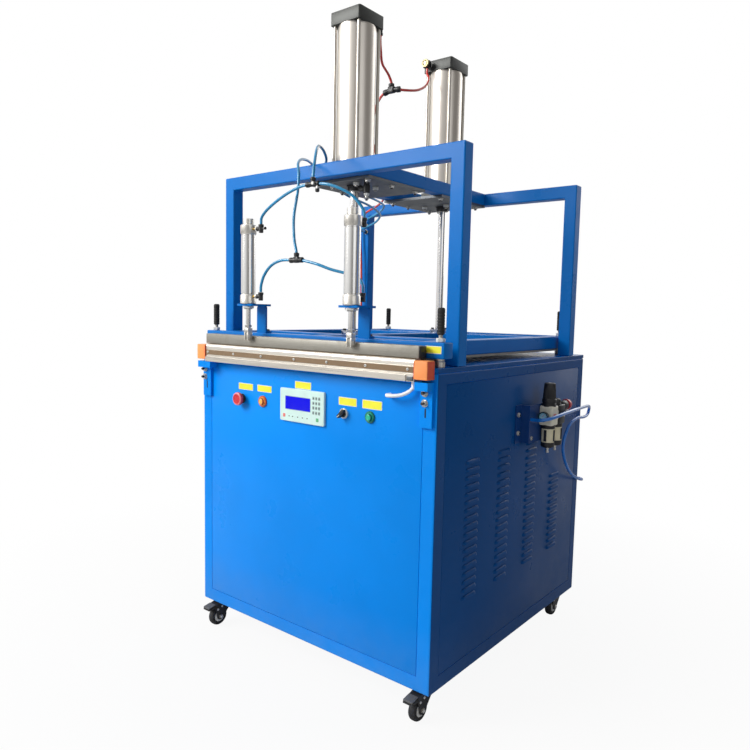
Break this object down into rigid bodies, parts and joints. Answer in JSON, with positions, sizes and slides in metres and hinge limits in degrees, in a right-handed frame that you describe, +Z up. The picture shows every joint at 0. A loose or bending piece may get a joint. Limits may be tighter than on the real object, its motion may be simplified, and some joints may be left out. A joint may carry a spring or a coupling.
{
  "type": "vacuum compression packing machine",
  "caption": "Blue cabinet on castors with a tube portal, air cylinders that lower a press frame, and a heat-sealing jaw along the front.",
  "frame": {"origin": "centre of the footprint box of the whole machine (hoses left out), on the floor", "axes": "+Z up, -Y towards the operator (sealing jaw side), +X to the side that carries the air service unit"},
  "size_m": [1.0025, 1.005, 1.8966],
  "materials": {
    "cabinet_blue": "semi-gloss powder coat",
    "frame_blue": "semi-gloss powder coat",
    "dark_blue": "semi-gloss powder coat",
    "aluminium": "satin anodised",
    "steel": "brushed",
    "chrome": "polished",
    "galvanised": "dull zinc",
    "cap_grey": "matt",
    "black": "matt",
    "orange": "matt",
    "mint": "satin",
    "red": "gloss",
    "amber": "gloss",
    "green": "gloss",
    "cream": "satin",
    "wheel_white": "matt",
    "hose_blue": "gloss",
    "hose_red": "gloss",
    "sleeve": "matt"
  },
  "bodies": {
    "machine": {"cabinet_body": "cabinet_blue", "table_top": "cabinet_blue", "front_cover": "cabinet_blue", "left_cover": "cabinet_blue", "right_cover": "cabinet_blue", "front_portal_frame": "frame_blue", "rear_portal_frame": "frame_blue", "left_beam": "frame_blue", "right_beam": "frame_blue", "front_mount_plate": "galvanised", "rear_mount_plate": "galvanised", "front_cylinder_head": "cap_grey", "rear_cylinder_head": "cap_grey", "front_cylinder_barrel": "aluminium", "rear_cylinder_barrel": "aluminium", "front_cylinder_cap": "cap_grey", "rear_cylinder_cap": "cap_grey", "lower_jaw_bar": "aluminium", "left_jaw_end_cap": "orange", "right_jaw_end_cap": "orange", "display_unit": "mint", "air_unit_bracket": "dark_blue", "air_service_unit": "cream", "raise_supply_hose": "hose_blue", "lower_supply_hose": "hose_blue", "front_cap_hose": "hose_red", "rear_cap_hose": "hose_red", "red_supply_hose": "hose_red", "heater_sleeve": "sleeve", "air_hose": "hose_blue"},
    "press_frame": {"press_front_rim": "frame_blue", "press_rear_rim": "frame_blue", "press_left_rim": "frame_blue", "press_right_rim": "frame_blue", "press_ribs": "frame_blue", "press_sheet": "steel", "front_main_rod": "chrome", "rear_main_rod": "chrome", "left_jaw_cylinder": "aluminium", "right_jaw_cylinder": "aluminium", "left_raise_hose": "hose_blue", "right_raise_hose": "hose_blue", "left_lower_hose": "hose_blue", "right_lower_hose": "hose_blue"},
    "upper_jaw": {"upper_jaw_bar": "galvanised", "left_jaw_rod": "steel", "right_jaw_rod": "steel"},
    "front_left_castor": {"front_left_fork": "black"},
    "front_left_roller": {"front_left_wheel": "wheel_white"},
    "front_right_castor": {"front_right_fork": "black"},
    "front_right_roller": {"front_right_wheel": "wheel_white"},
    "rear_left_castor": {"rear_left_fork": "black"},
    "rear_left_roller": {"rear_left_wheel": "wheel_white"},
    "rear_right_castor": {"rear_right_fork": "black"},
    "rear_right_roller": {"rear_right_wheel": "wheel_white"},
    "emergency_stop_body": {"emergency_stop": "red"},
    "lamp_button_body": {"lamp_button": "amber"},
    "start_button_body": {"start_button": "green"},
    "selector_body": {"selector_knob": "black"}
  },
  "joints": [
    {"name": "press_lift", "type": "slide", "parent": "machine", "child": "press_frame", "axis": [0, 0, 1], "range_m": [0, 0.3], "deforming": ["raise_supply_hose", "lower_supply_hose"]},
    {"name": "jaw_lift", "type": "slide", "parent": "press_frame", "child": "upper_jaw", "axis": [0, 0, 1], "range_m": [0, 0.035]},
    {"name": "front_left_swivel", "type": "hinge", "parent": "machine", "child": "front_left_castor", "pos_m": [-0.4395, -0.37835, 0.086], "axis": [0, 0, 1], "continuous": true},
    {"name": "front_left_roll", "type": "hinge", "parent": "front_left_castor", "child": "front_left_roller", "pos_m": [-0.4395, -0.40435, 0.03123], "axis": [1, 0, 0], "continuous": true},
    {"name": "front_right_swivel", "type": "hinge", "parent": "machine", "child": "front_right_castor", "pos_m": [0.3705, -0.37835, 0.086], "axis": [0, 0, 1], "continuous": true},
    {"name": "front_right_roll", "type": "hinge", "parent": "front_right_castor", "child": "front_right_roller", "pos_m": [0.3705, -0.40435, 0.03123], "axis": [1, 0, 0], "continuous": true},
    {"name": "rear_left_swivel", "type": "hinge", "parent": "machine", "child": "rear_left_castor", "pos_m": [-0.4395, 0.43165, 0.086], "axis": [0, 0, 1], "continuous": true},
    {"name": "rear_left_roll", "type": "hinge", "parent": "rear_left_castor", "child": "rear_left_roller", "pos_m": [-0.4395, 0.40565, 0.03123], "axis": [1, 0, 0], "continuous": true},
    {"name": "rear_right_swivel", "type": "hinge", "parent": "machine", "child": "rear_right_castor", "pos_m": [0.3705, 0.43165, 0.086], "axis": [0, 0, 1], "continuous": true},
    {"name": "rear_right_roll", "type": "hinge", "parent": "rear_right_castor", "child": "rear_right_roller", "pos_m": [0.3705, 0.40565, 0.03123], "axis": [1, 0, 0], "continuous": true},
    {"name": "emergency_stop_press", "type": "slide", "parent": "machine", "child": "emergency_stop_body", "axis": [0, 1, 0], "range_m": [0, 0.004], "stiffness_N_per_m": 400, "springref_m": -0.004},
    {"name": "lamp_button_press", "type": "slide", "parent": "machine", "child": "lamp_button_body", "axis": [0, 1, 0], "range_m": [0, 0.004], "stiffness_N_per_m": 250, "springref_m": -0.004},
    {"name": "start_button_press", "type": "slide", "parent": "machine", "child": "start_button_body", "axis": [0, 1, 0], "range_m": [0, 0.004], "stiffness_N_per_m": 250, "springref_m": -0.004},
    {"name": "selector_turn", "type": "hinge", "parent": "machine", "child": "selector_body", "pos_m": [0.1195, -0.42365, 0.771], "axis": [0, 1, 0], "range_deg": [-45, 45]}
  ]
}
